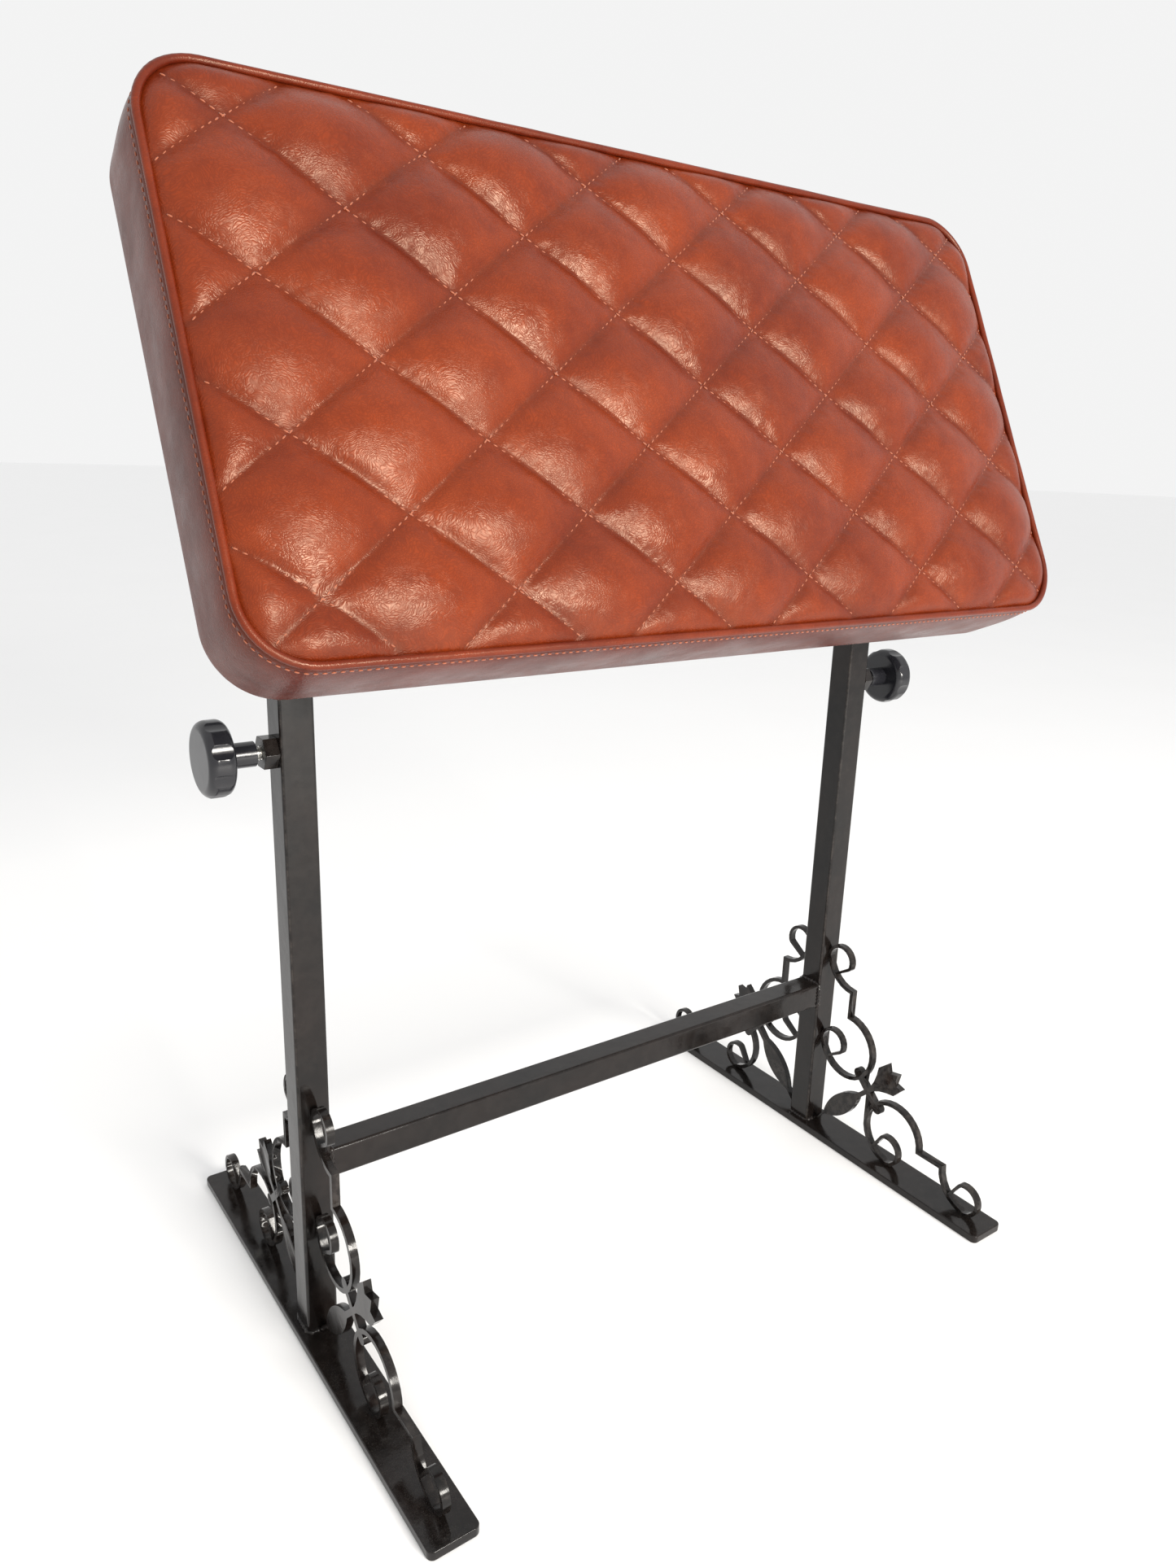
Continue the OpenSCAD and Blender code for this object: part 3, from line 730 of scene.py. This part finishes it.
def quilting_stitches():
    """Rows of stitches along both sets of seams."""
    bm = bmesh.new()
    pitch = 4.6 * MM
    up = Vector((0, 0, 1))
    for slope in (1, -1):
        along = Vector((DIAMOND_HALF_X, slope * DIAMOND_HALF_Y, 0)).normalized()
        for seam in range(-LATTICE_REACH, LATTICE_REACH + 1):
            start = seam * Vector((DIAMOND_HALF_X, -slope * DIAMOND_HALF_Y, 0))
            row = bmesh.new()
            for k in range(-70, 71):
                spot = start + along * (k + 0.5) * pitch
                if inset_of(spot.x, spot.y) < FACE_INSET + 2.5 * MM:
                    continue
                ends = [spot + along * d * pitch for d in (-0.3, 0.3)]
                for end in ends:
                    end.z = float(seam_level(end.x, end.y)) + 0.28 * MM
                run = ends[1] - ends[0]
                turned = Matrix.Rotation(math.radians(7), 4, "Z") @ run
                add_stitch(row, (ends[0] + ends[1]) / 2, turned, up, 3.1 * MM, 0.95 * MM)
            append_row(bm, row)
    return add_piece("quilting_stitches", bm, [THREAD], "pad", on_pad=True, sharp=180)


def band_topstitch():
    """A row of stitches along the side band, just below the piping."""
    bm = bmesh.new()
    path = outline_path(0.85 * MM, cord_level - 6.2 * MM, 4.2 * MM)
    for start in range(0, len(path), 40):
        row = bmesh.new()
        for k in range(start, min(start + 40, len(path))):
            along = path[(k + 1) % len(path)] - path[k - 1]
            out = Vector((along.y, -along.x, 0)).normalized()
            add_stitch(row, path[k] + 0.05 * MM * out, along, out, 2.9 * MM, 0.8 * MM)
        append_row(bm, row)
    return add_piece("band_topstitch", bm, [THREAD], "pad", on_pad=True, sharp=180)


def dust_cover():
    """Black cloth stretched over the back, with a turned-in edge."""
    bm = bmesh.new()
    inset = cover_high.x - dust_high.x
    bmesh.ops.create_grid(bm, x_segments=72, y_segments=36, size=1,
                          matrix=Matrix.Diagonal((cover_high.x, cover_high.y, 1, 1)))
    cut_to_outline(bm, inset, planes_per_corner=6)
    top = dust_high.z - 0.1 * MM
    for v in bm.verts:
        edge = float(inset_of(v.co.x, v.co.y)) - inset
        sag = 0.1 * MM * min(edge / (14 * MM), 1) * (1 + noise.noise(v.co * 22))
        hem = 0.35 * MM if edge < 11 * MM else 0.0
        v.co.z = top - 0.2 * MM - max(sag, 0) - hem
    bmesh.ops.solidify(bm, geom=bm.faces[:], thickness=0.3 * MM)
    bmesh.ops.recalc_face_normals(bm, faces=bm.faces)
    cloth = add_piece("dust_cover_cloth", bm, [DUST_CLOTH], "pad", ["pad_dust_cover"],
                      on_pad=True, sharp=60)
    return cloth


def staples():
    """Crown staples round the dust cover."""
    bm = bmesh.new()
    inset = cover_high.x - dust_high.x + 6 * MM
    level = dust_low.z - 0.3 * MM
    path = outline_path(inset, level, 34 * MM)
    for k, point in enumerate(path):
        along = (path[(k + 1) % len(path)] - path[k - 1]).normalized()
        along = Matrix.Rotation(math.radians(12 * noise.noise(point * 91)), 3, "Z") @ along
        turn = Matrix((along, Vector((0, 0, 1)).cross(along), Vector((0, 0, 1)))).transposed().to_4x4()
        wire = bmesh.ops.create_cube(bm, size=1, matrix=Matrix.Translation(point) @ turn @
                                     Matrix.Diagonal((10 * MM, 0.9 * MM, 0.5 * MM, 1)))["verts"]
        edges = list({e for v in wire for e in v.link_edges})
        bmesh.ops.bevel(bm, geom=edges, offset=0.16 * MM, offset_type="OFFSET", segments=1, profile=0.5,
                        affect="EDGES", material=-1)
    return add_piece("dust_cover_staples", bm, [ZINC], "pad", on_pad=True)


# ---- stand ----

SOFTENED = {
    "left_foot": 0.8, "right_foot": 0.8, "left_post": 0.35, "right_post": 0.35, "crossbar": 0.35,
    "left_clamp_nut": 0.6, "right_clamp_nut": 0.6,
    "left_front_scroll": 0.55, "left_rear_scroll": 0.55,
    "right_front_scroll": 0.55, "right_rear_scroll": 0.55,
    "left_inner_tube": 0.3, "right_inner_tube": 0.3, "left_tilt_bracket": 0.4, "right_tilt_bracket": 0.4}
bodies = frame["record"]["behaviour"]["bodies"]
body_of_node = {node: body for body, nodes in bodies.items() for node in nodes}


def enamelled_steel():
    for node, width in SOFTENED.items():
        piece = add_piece(node + "_enamelled", softened(node, width * MM), [ENAMEL], body_of_node[node],
                          [node])
        even_shading(piece)


FITTINGS = {
    "left_knob": (0.7, KNOB_PLASTIC, "knob_plastic"), "right_knob": (0.7, KNOB_PLASTIC, "knob_plastic"),
    "left_pivot_bolt": (0.35, ZINC, "zinc_steel"), "right_pivot_bolt": (0.35, ZINC, "zinc_steel"),
    "pivot_nuts": (0.35, ZINC, "zinc_steel"), "bracket_screws": (0.25, ZINC, "zinc_steel"),
    "left_tube_plug": (0.4, PLUG_PLASTIC, "plug_plastic"),
    "right_tube_plug": (0.4, PLUG_PLASTIC, "plug_plastic")}


def fittings():
    for node, (width, finish, slot) in FITTINGS.items():
        piece = add_piece(node + "_finished", softened(node, width * MM), [finish], body_of_node[node],
                          [node])
        even_shading(piece)


def threaded_stud(node):
    """An M8 stud: a core with a helical ridge wound along it."""
    low, high = (Vector(corner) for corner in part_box(node))
    middle = (low + high) / 2
    outer = (high.z - low.z) / 2
    root = outer - 0.7 * MM
    pitch = 1.25 * MM
    steps = 18
    bm = bmesh.new()
    bmesh.ops.create_cone(bm, cap_ends=True, segments=32, radius1=root, radius2=root, depth=high.x - low.x,
                          matrix=Matrix.Translation(middle) @ Matrix.Rotation(math.pi / 2, 4, "Y"))
    turns = int((high.x - low.x) / pitch) - 2
    start = Vector((low.x + pitch, middle.y, middle.z))
    reach = Vector((0, 0, 1))
    corners = [bm.verts.new(start + reach * (root - 0.2 * MM) + Vector((-0.55 * MM, 0, 0))),
               bm.verts.new(start + reach * outer + Vector((-0.08 * MM, 0, 0))),
               bm.verts.new(start + reach * outer + Vector((0.08 * MM, 0, 0))),
               bm.verts.new(start + reach * (root - 0.2 * MM) + Vector((0.55 * MM, 0, 0)))]
    face = bm.faces.new(corners)
    bmesh.ops.spin(bm, geom=[face] + face.edges[:] + corners, cent=start, axis=(1, 0, 0),
                   dvec=(pitch / steps, 0, 0), angle=2 * math.pi * turns, steps=turns * steps)
    bmesh.ops.recalc_face_normals(bm, faces=bm.faces)
    return add_piece(node + "_threaded", bm, [ZINC], body_of_node[node], [node], sharp=50)


def square_run(centre, across, upward, half, corner=2 * MM, spacing=1.1 * MM):
    """Points round a square with rounded corners, in the plane of two directions."""
    points = []
    count = round(8 * half / spacing)
    for k in range(count):
        angle = 2 * math.pi * k / count
        c, s = math.cos(angle), math.sin(angle)
        stretch = half / max(abs(c), abs(s))
        u, v = stretch * c, stretch * s
        over = max(abs(u) + abs(v) - 2 * half + corner, 0) / 2
        points.append(centre + across * (u - math.copysign(over, u)) + upward * (v - math.copysign(over, v)))
    return points


def weld_beads():
    """Lumpy beads where the crossbar meets the posts and the posts meet the feet."""
    bar_low, bar_high = (Vector(corner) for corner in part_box("crossbar"))
    bm = bmesh.new()
    half = (bar_high.z - bar_low.z) / 2
    middle = (bar_low + bar_high) / 2
    runs = [(Vector((end, middle.y, middle.z)), Vector((0, 1, 0)), Vector((0, 0, 1)), Vector((1, 0, 0)))
            for end in (bar_low.x, bar_high.x)]
    for post in ("left_post", "right_post"):
        low, high = (Vector(corner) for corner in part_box(post))
        foot = Vector(((low.x + high.x) / 2, (low.y + high.y) / 2, low.z))
        runs.append((foot, Vector((1, 0, 0)), Vector((0, 1, 0)), Vector((0, 0, 1))))
    for centre, across, upward, square_to in runs:
        part = bmesh.new()
        path = square_run(centre, across, upward, half)
        radii = []
        for k, point in enumerate(path):
            lump = 0.45 * math.sin(k * 1.9) + 0.5 * noise.noise(point * 190)
            radii.append((1.6 + lump) * MM)
        tube(part, path, radii, sides=8, closed=True, across=square_to)
        append_row(bm, part)
    bmesh.ops.recalc_face_normals(bm, faces=bm.faces)
    return add_piece("weld_beads", bm, [ENAMEL], "stand", sharp=180)


# ---- stage ----


def add_light(name, place, target, size, power, colour=(1, 1, 1)):
    lamp = bpy.data.lights.new(name, "AREA")
    lamp.shape = "RECTANGLE"
    lamp.size, lamp.size_y = size
    lamp.energy = power
    lamp.color = colour
    light = bpy.data.objects.new(name, lamp)
    light.location = place
    light.rotation_euler = (Vector(target) - Vector(place)).to_track_quat("-Z", "Y").to_euler()
    bpy.context.scene.collection.objects.link(light)


def studio():
    bm = bmesh.new()
    bmesh.ops.create_grid(bm, x_segments=1, y_segments=1, size=30)
    mesh = bpy.data.meshes.new("floor")
    bm.to_mesh(mesh)
    bm.free()
    floor = bpy.data.objects.new("floor", mesh)
    mesh.materials.append(floor_paint())
    bpy.context.scene.collection.objects.link(floor)
    world = bpy.data.worlds.new("studio")
    world.use_nodes = True
    world.node_tree.nodes["Background"].inputs["Color"].default_value = (1, 1, 1, 1)
    world.node_tree.nodes["Background"].inputs["Strength"].default_value = 0.9
    bpy.context.scene.world = world
    middle = (0, 0, 0.5)
    add_light("window", (0.12, -2.4, 1.05), middle, (0.95, 0.6), 85, (1, 0.96, 0.9))
    bpy.context.scene.view_settings.view_transform = "Standard"


def camera():
    lens = bpy.data.cameras.new("camera")
    lens.lens = 25.684
    lens.sensor_width = 36
    lens.clip_start = 0.01
    eye = bpy.data.objects.new("camera", lens)
    place = Vector((-0.4371, -0.5815, 0.5468))
    aim = Vector((0.0546, 0.1061, 0.2999))
    roll = Matrix.Rotation(math.radians(1.818), 3, "Z")
    turn = (aim - place).to_track_quat("-Z", "Y").to_matrix() @ roll
    eye.matrix_world = Matrix.Translation(place) @ turn.to_4x4()
    bpy.context.scene.collection.objects.link(eye)
    bpy.context.scene.camera = eye


camera()
pad_cushion()
pad_piping()
quilting_stitches()
band_topstitch()
dust_cover()
staples()
enamelled_steel()
fittings()
threaded_stud("left_clamp_stud")
threaded_stud("right_clamp_stud")
weld_beads()
for node, finish in (("pivot_washers", NYLON), ("pad_board", PLYWOOD)):
    for place in frame["nodes"][node].material_slots:
        place.material = finish
studio()
